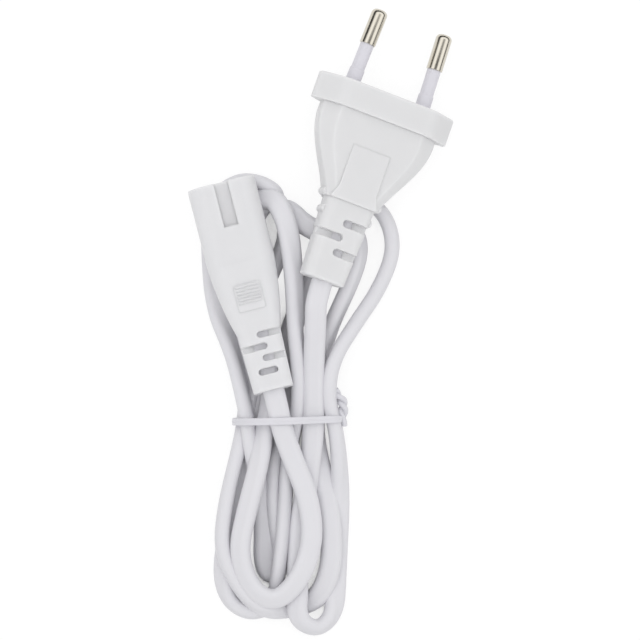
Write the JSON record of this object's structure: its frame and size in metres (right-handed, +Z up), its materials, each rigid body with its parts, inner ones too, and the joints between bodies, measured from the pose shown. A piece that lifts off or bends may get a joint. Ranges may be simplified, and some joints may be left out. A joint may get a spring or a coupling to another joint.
{
  "type": "power cord",
  "caption": "Mains lead with a flat moulded round-pin plug, a figure-eight appliance connector and a flat white flex folded into a hank and held by a twist tie.",
  "frame": {"origin": "centre of the hank's footprint, on the surface that it lies on", "axes": "+Y along the hank towards the plug's pins, +Z up from the surface, +X to the plug's side of the hank"},
  "size_m": [0.0648, 0.1527, 0.0183],
  "materials": {
    "moulded_pvc": "satin moulded PVC",
    "flex_pvc": "smooth extruded PVC",
    "pin_metal": "nickel-plated brass",
    "sleeve_plastic": "smooth",
    "rigid_plastic": "moulded",
    "contact_metal": "rolled strip",
    "conductor": "bare stranded copper",
    "core_brown": "extruded PVC",
    "core_blue": "extruded PVC",
    "tie_plastic": "soft plastic strip",
    "tie_steel": "soft wire"
  },
  "bodies": {
    "root": {"plug_body": "moulded_pvc", "plug_pin_live": "pin_metal", "plug_pin_neutral": "pin_metal", "pin_sleeve_live": "sleeve_plastic", "pin_sleeve_neutral": "sleeve_plastic", "plug_pin_bridge": "rigid_plastic", "plug_conductor_live": "conductor", "plug_conductor_neutral": "conductor", "plug_core_live": "core_brown", "plug_core_neutral": "core_blue", "cord_sheath": "flex_pvc", "connector_body": "moulded_pvc", "connector_insert": "rigid_plastic", "contact_live": "contact_metal", "contact_neutral": "contact_metal", "connector_conductor_live": "conductor", "connector_conductor_neutral": "conductor", "connector_core_live": "core_brown", "connector_core_neutral": "core_blue", "tie_ribbon": "tie_plastic", "tie_wire": "tie_steel"}
  },
  "joints": []
}
